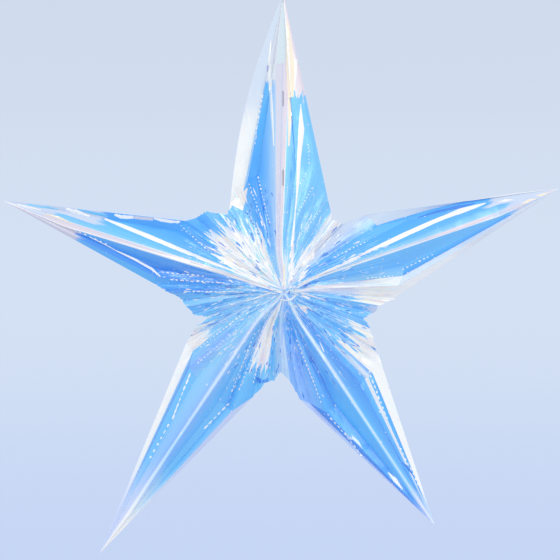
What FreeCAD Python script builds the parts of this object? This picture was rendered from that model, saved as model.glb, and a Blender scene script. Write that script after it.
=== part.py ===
import FreeCAD, Part
import math
import os

# A five-armed star folded from one die-cut sheet of film card, with the two wire staples
# that close it and the thread that it hangs by. Lengths in millimetres, angles in degrees.
# X is to the right, Z is up, and the folds stand out towards -Y. The origin is the point
# where the thread sits on its hook.

Vector = FreeCAD.Vector
os.makedirs("parts", exist_ok=True)
doc = FreeCAD.newDocument("folded_star")

DIMENSIONS = [
    ("arm_length", 241, "centre of the star to the tip of a plain arm"),
    ("top_arm_extra", 4, "length of the top arm beyond a plain arm"),
    ("lower_left_arm_extra", 21, "length of the lower left arm beyond a plain arm"),
    ("lower_right_arm_extra", -13, "length of the lower right arm beyond a plain arm"),
    ("top_arm_angle", 90, "top arm, from +X towards +Z"),
    ("left_arm_angle", 162, "left arm, from +X towards +Z"),
    ("lower_left_arm_angle", 235, "lower left arm, from +X towards +Z"),
    ("lower_right_arm_angle", 303, "lower right arm, from +X towards +Z"),
    ("right_arm_angle", 380.5, "right arm, from +X towards +Z and once round"),
    ("upper_crest_width", 12, "flat crest along the middle of an upper arm, across"),
    ("lower_crest_width", 6, "flat crest along the middle of a lower arm, across"),
    ("sheet_thickness", 0.3, "thickness of the film card"),
    ("crest_height", 30, "crest at the centre of the star, in front of the tips"),
    ("panel_end_width", 2.8, "wide panel left beside the crest where its sides close in"),
    ("wide_fold_angle", 12, "fold at the foot of the wide panel, off the arm's middle"),
    ("wide_fold_radius", 98, "where that fold turns towards the tip"),
    ("flap_fold_radius", 95, "where the next fold turns towards the tip"),
    ("flap_fold_height", 8, "that turn in front of the tips"),
    ("shoulder_radius", 92, "where an arm's straight edge meets the pleats"),
    ("tooth_radius", 89, "end of the pleat beside a notch"),
    ("tooth_height", 10, "that end in front of the tips"),
    ("notch_radius", 72, "bottom of the notch between two arms"),
    ("lap_side_gap", 0.8, "from the lapped end of the sheet to each side of the crest"),
    ("lap_end_gap", 6, "from the lapped end of the sheet to each end of the crest"),
    ("lap_sink", 0.05, "depth to which the lap is pressed into the crest below it"),
    ("staple_wire", 0.5, "flattened wire of a closing staple, each way"),
    ("staple_crown", 12.7, "straight back of a staple, between its legs"),
    ("staple_clinch_gap", 2.7, "gap between the turned ends of a staple's legs"),
    ("staple_gap", 0.08, "running gap between a staple and the sheet"),
    ("staple_hole_gap", 0.25, "gap around a leg in its hole"),
    ("inner_staple_radius", 92, "centre of the star to the inner staple"),
    ("outer_staple_inset", 88, "tip of the top arm to the outer staple"),
    ("thread_wire", 0.6, "hanging thread"),
    ("thread_hole_gap", 0.4, "gap around the thread in its hole"),
    ("thread_hole_inset", 8, "tip of the top arm to the thread's hole"),
    ("thread_stand_off", 2, "thread beside the tip, in front and behind"),
    ("thread_rise", 30, "tip of the top arm to the hook"),
    ("hook_radius", 2.6, "hook that the thread sits on"),
]

sizes = doc.addObject("Spreadsheet::Sheet", "Sizes")
for row, (alias, value, meaning) in enumerate(DIMENSIONS, start=1):
    sizes.set(f"A{row}", meaning)
    sizes.set(f"B{row}", str(value))
    sizes.setAlias(f"B{row}", alias)
doc.recompute()


def size(alias):
    return float(sizes.get(alias))


# Places that more than one piece is set out from
pleats_per_side = 4
wide_fold = math.radians(size("wide_fold_angle"))
upper = size("upper_crest_width") / 2
lower = size("lower_crest_width") / 2
TOP, LEFT, LOWER_LEFT, LOWER_RIGHT, RIGHT = arms = range(5)
directions = {
    TOP: math.radians(size("top_arm_angle")),
    LEFT: math.radians(size("left_arm_angle")),
    LOWER_LEFT: math.radians(size("lower_left_arm_angle")),
    LOWER_RIGHT: math.radians(size("lower_right_arm_angle")),
    RIGHT: math.radians(size("right_arm_angle")),
}
lengths = {
    TOP: size("arm_length") + size("top_arm_extra"),
    LEFT: size("arm_length"),
    LOWER_LEFT: size("arm_length") + size("lower_left_arm_extra"),
    LOWER_RIGHT: size("arm_length") + size("lower_right_arm_extra"),
    RIGHT: size("arm_length"),
}
crest_half_widths = {
    TOP: upper, LEFT: upper, LOWER_LEFT: lower, LOWER_RIGHT: lower, RIGHT: upper,
}
centre_height = -(size("thread_rise") + lengths[TOP])
full_turn = 2 * math.pi


def star_point(angle, radius, height):
    """A point of the flat pattern at an angle in the XZ plane, lifted towards -Y."""
    return Vector(radius * math.cos(angle), -height, radius * math.sin(angle))


def lift_onto_plane(x, z, a, b, c):
    """The point at x, z on the plane through a, b and c."""
    normal = (b - a).cross(c - a)
    return Vector(x, a.y - (normal.x * (x - a.x) + normal.z * (z - a.z)) / normal.y, z)


def crest_corner(arm, half_valley, other_arm):
    """Where the crests of two neighbouring arms meet, along the first arm and across it."""
    across = crest_half_widths[arm]
    turn = 2 * half_valley
    along = (crest_half_widths[other_arm] + across * math.cos(turn)) / math.sin(turn)
    return along, across


def crest_end_along(arm):
    """How far out along an arm the sides of its crest close in towards the tip."""
    turn_along = size("wide_fold_radius") * math.cos(wide_fold)
    turn_across = size("wide_fold_radius") * math.sin(wide_fold)
    fold_slope = turn_across / (lengths[arm] - turn_along)
    return lengths[arm] - (crest_half_widths[arm] + size("panel_end_width")) / fold_slope


def half_arm_points(arm, side):
    """The fold ends of one half of an arm, side being 1 or -1 from the arm's middle."""
    other_arm = (arm + side) % len(arms)
    half_valley = (side * (directions[other_arm] - directions[arm]) % full_turn) / 2
    pleat_pitch = (half_valley - wide_fold) / pleats_per_side

    def along_and_across(along, across, height):
        angle = directions[arm] + side * math.atan2(across, along)
        return star_point(angle, math.hypot(along, across), height)

    def off_axis(angle, radius, height):
        return star_point(directions[arm] + side * angle, radius, height)

    corner = along_and_across(
        *crest_corner(arm, half_valley, other_arm), size("crest_height")
    )
    tip = off_axis(0, lengths[arm], 0)
    wide_turn = off_axis(wide_fold, size("wide_fold_radius"), 0)
    flat_end = along_and_across(crest_end_along(arm), crest_half_widths[arm], 0)
    return {
        "corner": corner,
        "tip": tip,
        "crest_end": lift_onto_plane(flat_end.x, flat_end.z, corner, tip, wide_turn),
        "wide_turn": wide_turn,
        "flap_turn": off_axis(
            wide_fold + pleat_pitch, size("flap_fold_radius"), size("flap_fold_height")
        ),
        "shoulder": off_axis(wide_fold + 2 * pleat_pitch, size("shoulder_radius"), 0),
        "tooth": off_axis(
            wide_fold + 3 * pleat_pitch, size("tooth_radius"), size("tooth_height")
        ),
        "notch": off_axis(half_valley, size("notch_radius"), 0),
    }


def half_arm_facets(p):
    """The flat facets of one half of an arm, from its crest to the notch."""
    return [
        [p["crest_end"], p["tip"], p["wide_turn"], p["corner"]],
        [p["corner"], p["wide_turn"], p["flap_turn"]],
        [p["wide_turn"], p["tip"], p["flap_turn"]],
        [p["corner"], p["flap_turn"], p["shoulder"]],
        [p["flap_turn"], p["tip"], p["shoulder"]],
        [p["corner"], p["shoulder"], p["tooth"]],
        [p["corner"], p["tooth"], p["notch"]],
    ]


def star_facets():
    """Every facet of the folded sheet's front."""
    facets = []
    centre_corners = []
    for arm in arms:
        right = half_arm_points(arm, -1)
        left = half_arm_points(arm, 1)
        facets += half_arm_facets(right) + half_arm_facets(left)
        facets.append([right["corner"], right["crest_end"], left["crest_end"], left["corner"]])
        facets.append([right["crest_end"], right["tip"], left["crest_end"]])
        centre_corners.append(left["corner"])
    facets.append(centre_corners)
    return facets


def vertex_key(point):
    return (round(point.x, 6), round(point.y, 6), round(point.z, 6))


def back_normal(facet):
    """The unit normal of a facet that points to the star's back."""
    normal = (facet[1] - facet[0]).cross(facet[2] - facet[0])
    normal.normalize()
    return normal if normal.y > 0 else -normal


def mitre(normals, thickness):
    """How far a fold's end moves so that each facet there moves back by the thickness."""
    steady = 1e-6
    columns = [[steady if i == j else 0.0 for j in range(3)] for i in range(3)]
    total = Vector()
    for normal in normals:
        for i in range(3):
            for j in range(3):
                columns[i][j] += normal[i] * normal[j]
        total += normal
    matrix = FreeCAD.Matrix(
        columns[0][0], columns[0][1], columns[0][2], 0,
        columns[1][0], columns[1][1], columns[1][2], 0,
        columns[2][0], columns[2][1], columns[2][2], 0,
        0, 0, 0, 1,
    )
    return matrix.inverse().multVec(total * thickness)


def faces_of(points):
    """One face where the points lie in a plane, and otherwise a fan of triangles."""
    flat_enough = 1e-6
    normal = (points[1] - points[0]).cross(points[2] - points[0])
    normal.normalize()
    if all(abs(normal.dot(p - points[0])) < flat_enough for p in points[3:]):
        return [Part.Face(Part.makePolygon(points + points[:1]))]
    return [
        Part.Face(Part.makePolygon([points[0], points[i], points[i + 1], points[0]]))
        for i in range(1, len(points) - 1)
    ]


def thick_sheet(facets, thickness):
    """The closed solid between the facets and the same facets moved back."""
    normals = {}
    for facet in facets:
        for point in facet:
            normals.setdefault(vertex_key(point), []).append(back_normal(facet))

    def behind(point):
        return point + mitre(normals[vertex_key(point)], thickness)

    rim = {}
    faces = []
    for facet in facets:
        faces += faces_of(facet)
        faces += faces_of([behind(point) for point in facet])
        for start, end in zip(facet, facet[1:] + facet[:1]):
            edge = frozenset((vertex_key(start), vertex_key(end)))
            rim[edge] = None if edge in rim else (start, end)
    for start, end in (ends for ends in rim.values() if ends):
        faces += faces_of([start, end, behind(end), behind(start)])
    shell = Part.Shell(faces)
    shell.sewShape()
    solid = Part.Solid(shell)
    if solid.Volume < 0:
        solid.reverse()
    return solid


# The pleated sheet
folded_sheet = doc.addObject("Part::Feature", "folded_sheet")
folded_sheet.Shape = thick_sheet(star_facets(), size("sheet_thickness"))
folded_sheet.Placement = FreeCAD.Placement(Vector(0, 0, centre_height), FreeCAD.Rotation())

# The crest of the top arm falls back from the centre to the tip
top_points = half_arm_points(TOP, 1)
crest_start = top_points["corner"].z
crest_end = top_points["crest_end"].z
crest_drop = top_points["crest_end"].y - top_points["corner"].y
crest_fall = math.atan2(crest_drop, crest_end - crest_start)


def on_top_crest(radius):
    """The frame on the top arm's crest at a distance from the centre: Z along the
    crest to the tip, -Y out of it."""
    share = (radius - crest_start) / (crest_end - crest_start)
    depth = top_points["corner"].y + share * crest_drop
    return FreeCAD.Placement(
        Vector(0, depth, centre_height + radius),
        FreeCAD.Rotation(Vector(1, 0, 0), -math.degrees(crest_fall)),
    )


# The sheet's other end, lapped over the crest of the top arm
lap = doc.addObject("Part::Box", "lap")
lap_length = (crest_end - crest_start) / math.cos(crest_fall)
lap.setExpression("Length", "Sizes.upper_crest_width - 2 * Sizes.lap_side_gap")
lap.setExpression("Width", "Sizes.sheet_thickness + Sizes.lap_sink")
lap.setExpression("Height", f"{lap_length} - 2 * Sizes.lap_end_gap")
lap.Placement = on_top_crest(crest_start).multiply(
    FreeCAD.Placement(
        Vector(
            size("lap_side_gap") - crest_half_widths[TOP],
            -size("sheet_thickness"),
            size("lap_end_gap"),
        ),
        FreeCAD.Rotation(),
    )
)
lapped_sheet = doc.addObject("Part::Fuse", "lapped_sheet")
lapped_sheet.Base = folded_sheet
lapped_sheet.Tool = lap


def hole_through(name, radius_expression, place):
    """A round cutter along the Y axis of the place, through the lap and the sheet."""
    reach = 3
    cutter = doc.addObject("Part::Cylinder", name)
    cutter.setExpression("Radius", radius_expression)
    cutter.Height = 2 * reach
    cutter.Placement = place.multiply(
        FreeCAD.Placement(Vector(0, reach, 0), FreeCAD.Rotation(Vector(1, 0, 0), 90))
    )
    return cutter


staple_places = {
    "inner_staple": on_top_crest(size("inner_staple_radius")),
    "outer_staple": on_top_crest(lengths[TOP] - size("outer_staple_inset")),
}
leg_place = size("staple_crown") / 2
cutters = []
for staple_name, place in staple_places.items():
    for end_name, offset in (("lower", -leg_place), ("upper", leg_place)):
        step = FreeCAD.Placement(Vector(0, 0, offset), FreeCAD.Rotation())
        cutters.append(
            hole_through(
                f"{staple_name}_{end_name}_hole",
                "Sizes.staple_wire / 2 + Sizes.staple_hole_gap",
                place.multiply(step),
            )
        )
thread_hole_height = -(size("thread_rise") + size("thread_hole_inset"))
cutters.append(
    hole_through(
        "thread_hole",
        "Sizes.thread_wire / 2 + Sizes.thread_hole_gap",
        FreeCAD.Placement(Vector(0, 0, thread_hole_height), FreeCAD.Rotation()),
    )
)
hole_cutters = doc.addObject("Part::MultiFuse", "hole_cutters")
hole_cutters.Shapes = cutters
folded_star = doc.addObject("Part::Cut", "folded_star")
folded_star.Base = lapped_sheet
folded_star.Tool = hole_cutters
folded_star.Label = "folded_star"


def arc_radius(before, after):
    """The largest arc that a corner's two runs leave room for."""
    run_share = 0.45
    half_turn = (math.pi - before.getAngle(after)) / 2
    return run_share * min(before.Length, after.Length) / math.tan(half_turn)


def rounded_path(corners, closed=False):
    """Straight runs through the corners, joined by the largest arcs that fit."""
    count = len(corners)
    inner = range(count) if closed else range(1, count - 1)
    arcs = {}
    for i in inner:
        before = corners[i - 1] - corners[i]
        after = corners[(i + 1) % count] - corners[i]
        radius = arc_radius(before, after)
        half = before.getAngle(after) / 2
        before.normalize()
        after.normalize()
        reach = radius / math.tan(half)
        bisector = (before + after).normalize()
        middle = corners[i] + bisector * (radius / math.sin(half) - radius)
        arcs[i] = (corners[i] + before * reach, middle, corners[i] + after * reach)
    edges = []
    for i in range(count if closed else count - 1):
        follower = (i + 1) % count
        start = arcs[i][2] if i in arcs else corners[i]
        end = arcs[follower][0] if follower in arcs else corners[follower]
        edges.append(Part.LineSegment(start, end).toShape())
        if follower in arcs:
            edges.append(Part.Arc(*arcs[follower]).toShape())
    return Part.Wire(edges)


def swept_section(name, section, path):
    """A section at the start of a path, swept along it as a solid."""
    start = path.Edges[0].valueAt(path.Edges[0].FirstParameter)
    direction = path.Edges[0].tangentAt(path.Edges[0].FirstParameter)
    section.Placement = FreeCAD.Placement(
        start, FreeCAD.Rotation(Vector(0, 0, 1), direction)
    ).multiply(section.Placement)
    spine = doc.addObject("Part::Feature", f"{name}_path")
    spine.Shape = path
    sweep = doc.addObject("Part::Sweep", name)
    sweep.Sections = [section]
    sweep.Spine = (spine, [f"Edge{i + 1}" for i in range(len(path.Edges))])
    sweep.Solid = True
    sweep.Frenet = False
    return sweep


# The closing staples, their backs on the lap and their legs turned in behind the sheet
wire_clear = size("staple_wire") / 2 + size("staple_gap")
crown_depth = -(size("sheet_thickness") + wire_clear)
clinch_depth = size("sheet_thickness") + wire_clear
clinch_end = size("staple_clinch_gap") / 2
staple_corners = [
    Vector(0, clinch_depth, -clinch_end),
    Vector(0, clinch_depth, -leg_place),
    Vector(0, crown_depth, -leg_place),
    Vector(0, crown_depth, leg_place),
    Vector(0, clinch_depth, leg_place),
    Vector(0, clinch_depth, clinch_end),
]
staples = []
for staple_name, place in staple_places.items():
    square = doc.addObject("Part::RegularPolygon", f"{staple_name}_section")
    square.Polygon = 4
    square.setExpression("Circumradius", "Sizes.staple_wire / sqrt(2)")
    square.Placement = FreeCAD.Placement(Vector(), FreeCAD.Rotation(Vector(0, 0, 1), 45))
    path = rounded_path([place.multVec(corner) for corner in staple_corners])
    staples.append(swept_section(staple_name, square, path))
closing_staples = doc.addObject("Part::Compound", "closing_staples")
closing_staples.Links = staples
closing_staples.Label = "closing_staples"

# The thread, through its hole, up both sides of the tip and over the hook
stand_off = size("thread_stand_off")
hook_line = size("hook_radius") + size("thread_wire") / 2
thread_top = size("thread_wire") / 2
half_route = [
    Vector(0, -stand_off, thread_hole_height),
    Vector(0, -stand_off, thread_hole_height / 2),
    Vector(0, -hook_line, thread_top),
]
thread_corners = half_route + [Vector(0, -p.y, p.z) for p in reversed(half_route)]
thread_path = rounded_path(thread_corners, closed=True)
thread_section = doc.addObject("Part::Circle", "thread_section")
thread_section.setExpression("Radius", "Sizes.thread_wire / 2")
hanging_thread = swept_section("hanging_thread", thread_section, thread_path)
hanging_thread.Label = "hanging_thread"

doc.recompute()
for thing in doc.Objects:
    if "Invalid" in thing.State or "Error" in thing.State:
        raise RuntimeError(f"{thing.Label} did not recompute: {thing.State}")
for node in (folded_star, closing_staples, hanging_thread):
    if node.Shape.isNull() or not node.Shape.isValid():
        raise RuntimeError(f"{node.Label} has no valid shape")
    print(node.Label, len(node.Shape.Solids), "solids", round(node.Shape.Volume, 1), "mm3")
    node.Shape.exportStep(f"parts/{node.Label}.step")
thread_arcs = [edge.Curve.Radius for edge in thread_path.Edges if hasattr(edge.Curve, "Radius")]
print("thread", round(thread_path.Length, 1), "mm, arcs", [round(r, 2) for r in thread_arcs])
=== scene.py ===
import math
import random

import bpy
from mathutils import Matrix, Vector, noise
from mathutils.bvhtree import BVHTree


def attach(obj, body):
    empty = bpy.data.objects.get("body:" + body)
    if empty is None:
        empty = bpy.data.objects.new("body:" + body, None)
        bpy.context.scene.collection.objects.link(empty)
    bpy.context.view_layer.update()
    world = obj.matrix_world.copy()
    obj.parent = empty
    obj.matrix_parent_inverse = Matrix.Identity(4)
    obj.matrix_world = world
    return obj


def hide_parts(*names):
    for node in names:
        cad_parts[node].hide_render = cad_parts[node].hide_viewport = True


# A pleated star of iridescent film, hung by a thread. The tables are in millimetres and
# degrees, and Blender's objects in metres. X is to the right, Z is up, and the folds stand
# out towards -Y. The origin is the point where the thread is hung.

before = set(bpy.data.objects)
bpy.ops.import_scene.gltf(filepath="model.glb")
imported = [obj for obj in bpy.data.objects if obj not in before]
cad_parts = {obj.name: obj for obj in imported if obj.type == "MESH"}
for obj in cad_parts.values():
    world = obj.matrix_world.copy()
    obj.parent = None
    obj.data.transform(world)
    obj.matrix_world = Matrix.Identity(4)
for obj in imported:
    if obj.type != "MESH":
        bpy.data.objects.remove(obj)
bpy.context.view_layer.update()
MM = 0.001

# Sizes that the folded sheet was set out from. An arm's crest is half the width of its flat
# crest, and crest_root is half that width at the hub
CENTRE_HEIGHT = -275.0
CREST_HEIGHT = 30.0
SHEET_THICKNESS = 0.3
HUB_SHIFT = Vector((0.4, 0.3, 0.0))
CREST_LEAN = Vector((-4.2, -0.85, 2.4))
WIDE_FOLD_ANGLE = 12.0
WIDE_FOLD_RADIUS = 98.0
PANEL_END_WIDTH = 2.8
ARMS = {
    "top": {"direction": 90.0, "length": 245.0, "crest": 5.6, "crest_root": 1.5},
    "left": {"direction": 162.0, "length": 241.0, "crest": 4.6, "crest_root": 1.3},
    "lower_left": {"direction": 235.0, "length": 262.0, "crest": 2.2, "crest_root": 0.9},
    "lower_right": {"direction": 303.0, "length": 228.0, "crest": 2.2, "crest_root": 0.9},
    "right": {"direction": 380.5, "length": 241.0, "crest": 4.6, "crest_root": 1.3},
}
ARM_NAMES = list(ARMS)


def srgb(red, green, blue):
    """A colour as a screen shows it, 0 to 255, in the linear values that Blender takes."""
    channels = []
    for value in (red, green, blue):
        share = value / 255.0
        channels.append(share / 12.92 if share <= 0.04045 else ((share + 0.055) / 1.055) ** 2.4)
    return tuple(channels)


# Colours of the film by the way it is folded. White is a painted highlight: on the panels near the
# hub, along the crests, and in the glints, flares, white ribs and white shards; shade is a painted
# shade
PAINTS = {
    "ink": srgb(44, 112, 216),
    "dusk": srgb(74, 142, 232),
    "mauve": srgb(178, 176, 222),
    "deep": srgb(84, 172, 250),
    "shade": srgb(110, 170, 240),
    "cobalt": srgb(84, 156, 240),
    "blue": srgb(106, 188, 252),
    "azure": srgb(124, 202, 252),
    "sky": srgb(150, 213, 250),
    "aqua": srgb(170, 230, 240),
    "periwinkle": srgb(142, 190, 253),
    "ice": srgb(200, 225, 250),
    "lilac": srgb(218, 216, 230),
    "haze": srgb(207, 220, 241),
    "low_haze": srgb(208, 220, 247),
    "mist": srgb(226, 232, 240),
    "veil": srgb(214, 226, 240),
    "glass": srgb(216, 230, 236),
    "cream": srgb(249, 250, 247),
    "peach": srgb(255, 242, 216),
    "rose": srgb(236, 224, 232),
    "white": srgb(255, 255, 255),
}


def fold(angle, radius, height, near, switch, far, outer=None, bulge=0.0):
    """A fold from the hub to its knee, off the arm's middle, and on to the tip where it has
    an outer paint. The paints are those of the panel before it: near the hub, from the
    switch radius to the knee, and from the knee to the tip. The bulge is how far the fold
    swells out on its way to the tip."""
    return {
        "angle": angle, "radius": radius, "height": height, "bulge": bulge,
        "near": near, "switch": switch, "far": far, "outer": outer,
    }


# Each half of an arm from its crest to the notch, side 1 being the one turned to from +X towards
# +Z. Where its panels are painted white they carry a painted highlight
HALF_ARMS = {
    ("top", 1): [
        fold(12, 98, 0, "ice>sky", 30, "ice>blue", "lilac>azure"),
        fold(17, 95, 7, "sky", 35, "deep", "azure>blue"),
        fold(21.5, 88, 2, "white", 48, "deep>blue", "periwinkle>azure"),
        fold(33.5, 80, 0, "white", 54, "blue>azure", "cream", bulge=8.0),
        fold(36, 77, 6, "white", 60, "azure"),
    ],
    ("top", -1): [
        fold(7, 100, 13, "cream>sky", 30, "azure>deep", "blue>deep"),
        fold(18, 97, 4, "white>azure", 28, "azure", "azure>azure"),
        fold(31, 76, 0, "cream>white", 24, "azure", "azure"),
        fold(34.75, 70, 5, "white", 90, "white"),
    ],
    ("left", -1): [
        fold(12, 99, 2, "white", 38, "azure>deep", "azure>deep"),
        fold(18, 97, 6, "white", 62, "deep", "deep"),
        fold(22.5, 93, 0, "white", 72, "deep>blue", "haze"),
        fold(27, 90, 8, "cream", 70, "blue"),
        fold(31.5, 84, 2, "white", 72, "blue>azure"),
        fold(36, 77, 6, "white", 68, "azure>blue"),
    ],
    ("left", 1): [
        fold(8, 102, 3, "azure>deep", 30, "blue>cobalt", "blue>cobalt"),
        fold(11.5, 104, 6, "blue", 40, "cobalt", "cobalt"),
        fold(14.5, 106, 0, "sky", 45, "deep>blue", "blue"),
        fold(18.5, 93, 6, "ice>azure", 50, "blue>cobalt"),
        fold(23, 82, 1, "sky>blue", 55, "deep>azure"),
        fold(27.5, 79, 7, "ice>sky", 60, "azure>sky"),
        fold(32, 76, 1, "sky>azure", 50, "blue"),
        fold(36.5, 65, 4, "sky>ice", 50, "azure"),
    ],
    ("lower_left", -1): [
        fold(10, 100, 4, "ice>sky", 40, "periwinkle>sky", "periwinkle>sky"),
        fold(15.5, 98, 6, "sky>azure", 50, "sky>periwinkle", "azure"),
        fold(21.5, 88, 1, "azure>sky", 50, "periwinkle>azure", "dusk>blue"),
        fold(27, 90, 0, "sky>azure", 66, "cream", "cream"),
        fold(32, 78, 6, "ice>azure", 66, "cream"),
        fold(36.5, 66, 2, "sky>azure", 66, "cream"),
    ],
    ("lower_left", 1): [
        fold(5, 104, 4, "ice>azure", 25, "periwinkle>azure", "sky>azure"),
        fold(9, 105, 0, "azure", 35, "azure>blue", "azure"),
        fold(12, 107, 4, "white>azure", 50, "blue>azure", "azure>sky"),
        fold(19, 90, 0, "white", 66, "azure>blue", "low_haze"),
        fold(25, 76, 6, "white", 66, "azure"),
        fold(29.5, 74, 1, "sky>azure", 30, "azure"),
        fold(34, 66, 5, "azure>ice", 40, "sky>ice"),
    ],
    ("lower_right", -1): [
        fold(8, 104, 3, "azure>blue", 20, "blue", "blue"),
        fold(13, 105, 6, "blue>deep", 30, "cobalt>blue", "cobalt>deep"),
        fold(19.5, 94, 0, "deep", 45, "blue>periwinkle", "cobalt"),
        fold(23.5, 90, 3, "blue", 45, "periwinkle", "low_haze"),
        fold(28, 74, 5, "azure>periwinkle", 50, "periwinkle"),
        fold(34, 66, 5, "periwinkle>ice", 40, "ice"),
    ],
    ("lower_right", 1): [
        fold(6.5, 100, 4, "azure>blue", 20, "blue>cobalt", "blue>cobalt"),
        fold(10, 98, 1, "azure", 25, "cobalt>blue", "cobalt>blue"),
        fold(12, 99, 2, "azure", 60, "azure>cream", "cream"),
        fold(14.5, 100, 1, "azure", 70, "cream>deep", "blue>deep"),
        fold(24, 93, 0, "azure>blue", 66, "cream", "cream"),
        fold(29, 84, 7, "blue>azure", 70, "cream"),
        fold(34, 78, 1, "sky>blue", 64, "cream"),
        fold(38.75, 70, 5, "azure>blue", 72, "blue"),
    ],
    ("right", 1): [
        fold(9, 118, 4, "azure>blue", 20, "blue>deep", "azure>deep"),
        fold(14.5, 94, 1, "cream>azure", 22, "blue", "blue>deep", bulge=5.0),
        fold(22, 92, 5, "white>sky", 26, "blue>haze", "mist"),
        fold(28, 74, 0, "white>ice", 32, "haze"),
        fold(32, 72, 6, "white", 60, "white"),
        fold(34.75, 70, 5, "white", 90, "white"),
    ],
    ("right", -1): [
        fold(8, 102, 3, "azure", 20, "azure>blue", "sky>azure"),
        fold(13, 99, 0, "sky", 30, "blue>sky", "azure>deep"),
        fold(18, 95, 7, "rose>white", 70, "cream", "cream"),
        fold(24, 92, 0, "rose>ice", 60, "cream", "cream"),
        fold(29, 80, 6, "blue>sky", 62, "cream"),
        fold(34, 76, 1, "azure>blue", 70, "haze"),
        fold(38.75, 70, 5, "azure>blue", 74, "azure"),
    ],
}

# The paint of each half of a crest, from its middle to its edge
CREST_PAINTS = {
    ("top", 1): "lilac",
    ("top", -1): "lilac>rose",
    ("left", -1): "sky>azure",
    ("left", 1): "lilac>rose",
    ("lower_left", -1): "sky>periwinkle",
    ("lower_left", 1): "sky",
    ("lower_right", -1): "sky>azure",
    ("lower_right", 1): "sky>azure",
    ("right", 1): "sky>blue",
    ("right", -1): "sky>lilac",
}

# Where each half of an arm pales towards its tip, the paint that it pales to, and over how
# many millimetres each side: first its crest, then its panels in their order, the last one
# for all that follow
TIPS = {
    ("top", 1): [
        (184, "glass", 1.2), (176, "mist", 1.2), (176, "mist", 1.2), (176, "mist", 1.2),
        (150, "veil", 22.0),
    ],
    ("top", -1): [
        (184, "glass", 1.2), (160, "peach>cream", 1.2), (160, "cream>rose", 1.2),
        (163, "rose", 1.2),
    ],
    ("left", -1): [(196, "haze", 4.0), (158, "haze", 4.0)],
    ("left", 1): [(204, "haze", 4.0), (168, "lilac", 4.0), (174, "lilac", 4.0)],
    ("lower_left", -1): [
        (188, "low_haze", 34.0), (192, "low_haze", 40.0), (200, "low_haze", 34.0),
    ],
    ("lower_left", 1): [(188, "cream", 34.0), (202, "cream", 38.0)],
    ("lower_right", -1): [
        (200, "low_haze", 16.0), (204, "low_haze", 16.0), (212, "low_haze", 16.0),
    ],
    ("lower_right", 1): [(200, "low_haze", 16.0), (206, "ice", 16.0)],
    ("right", 1): [(196, "haze", 4.0), (184, "haze", 4.0), (184, "haze", 4.0), (184, "mist", 4.0)],
    ("right", -1): [
        (188, "haze", 4.0), (200, "haze", 4.0), (200, "haze", 4.0), (150, "mist", 22.0),
    ],
}

# The painted highlight lines along the crests: on its edge at side 1, its middle 0 or its edge at
# side -1, with half its width and how far it is dimmed
CREST_HIGHLIGHTS = {
    "top": [(1, 0.5, 0.6), (-1, 0.5, 0.45)],
    "left": [(0, 0.5, 0.25), (1, 1.1, 0.0)],
    "lower_left": [(0, 6.4, 0.8)],
    "lower_right": [(0, 5.2, 0.76)],
    "right": [(-1, 0.8, 0.35)],
}


def link(obj):
    bpy.context.scene.collection.objects.link(obj)
    return obj


def direction_of(arm):
    return math.radians(ARMS[arm]["direction"])


def neighbour(arm, side):
    return ARM_NAMES[(ARM_NAMES.index(arm) + side) % len(ARM_NAMES)]


def valley(arm, side):
    """The angle between an arm and its neighbour on that side."""
    turn = side * (direction_of(neighbour(arm, side)) - direction_of(arm))
    return turn % (2 * math.pi)


def in_arm(arm, side, along, across, height):
    """A point set out along the arm's middle, across it to one side, and out of its plane."""
    turn = direction_of(arm)
    return Vector((
        along * math.cos(turn) - side * across * math.sin(turn),
        -height,
        along * math.sin(turn) + side * across * math.cos(turn),
    ))


def corner_of(arm, side, width):
    """Where the crests of an arm and its neighbour meet, by the half width of that name."""
    turn = valley(arm, side)
    across = ARMS[arm][width]
    other = ARMS[neighbour(arm, side)][width]
    along = (other + across * math.cos(turn)) / math.sin(turn)
    return in_arm(arm, side, along, across, CREST_HEIGHT)


def hub_corner(arm, side):
    """Where the gathered crests of an arm and its neighbour meet, beside the hub."""
    return corner_of(arm, side, "crest_root") + HUB_SHIFT


def tip_of(arm):
    return in_arm(arm, 1, ARMS[arm]["length"], 0, 0)


# Camera, square on to the star, at the photograph's framing, in metres
FRAMED_WIDTH = 0.4592
FRAMED_CENTRE = Vector((-0.0025, 0.0, -0.2656))
LENS = 85.0
SENSOR = 36.0
camera_data = bpy.data.cameras.new("camera")
camera_data.lens = LENS
camera_data.sensor_width = SENSOR
camera = link(bpy.data.objects.new("camera", camera_data))
camera_distance = FRAMED_WIDTH * LENS / SENSOR
camera.location = FRAMED_CENTRE + Vector((0.0, -camera_distance, 0.0))
camera.rotation_euler = (math.radians(90), 0.0, 0.0)
bpy.context.scene.camera = camera


# The thread: its diameter in metres, and its route in millimetres, from the front of its hole over
# the hook and back into the hole
THREAD_DIAMETER = 0.0006
THREAD_ROUTE = [
    (0.0, -0.5, -38.0),
    (0.0, -2.0, -38.0),
    (0.0, -2.0, -19.0),
    (0.0, -2.9, 0.3),
    (0.0, 2.9, 0.3),
    (0.0, 2.0, -19.0),
    (0.0, 2.0, -38.0),
    (0.0, 0.6, -38.0),
]


def thread_curve():
    curve = bpy.data.curves.new("thread_loop", "CURVE")
    curve.dimensions = "3D"
    curve.bevel_depth = THREAD_DIAMETER / 2
    curve.bevel_resolution = 4
    curve.resolution_u = 12
    curve.use_fill_caps = True
    spline = curve.splines.new("NURBS")
    spline.points.add(len(THREAD_ROUTE) - 1)
    for point, place in zip(spline.points, THREAD_ROUTE):
        point.co = (*(Vector(place) * MM), 1.0)
    spline.order_u = 3
    spline.use_endpoint_u = True
    return link(bpy.data.objects.new("thread_loop", curve))


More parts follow.
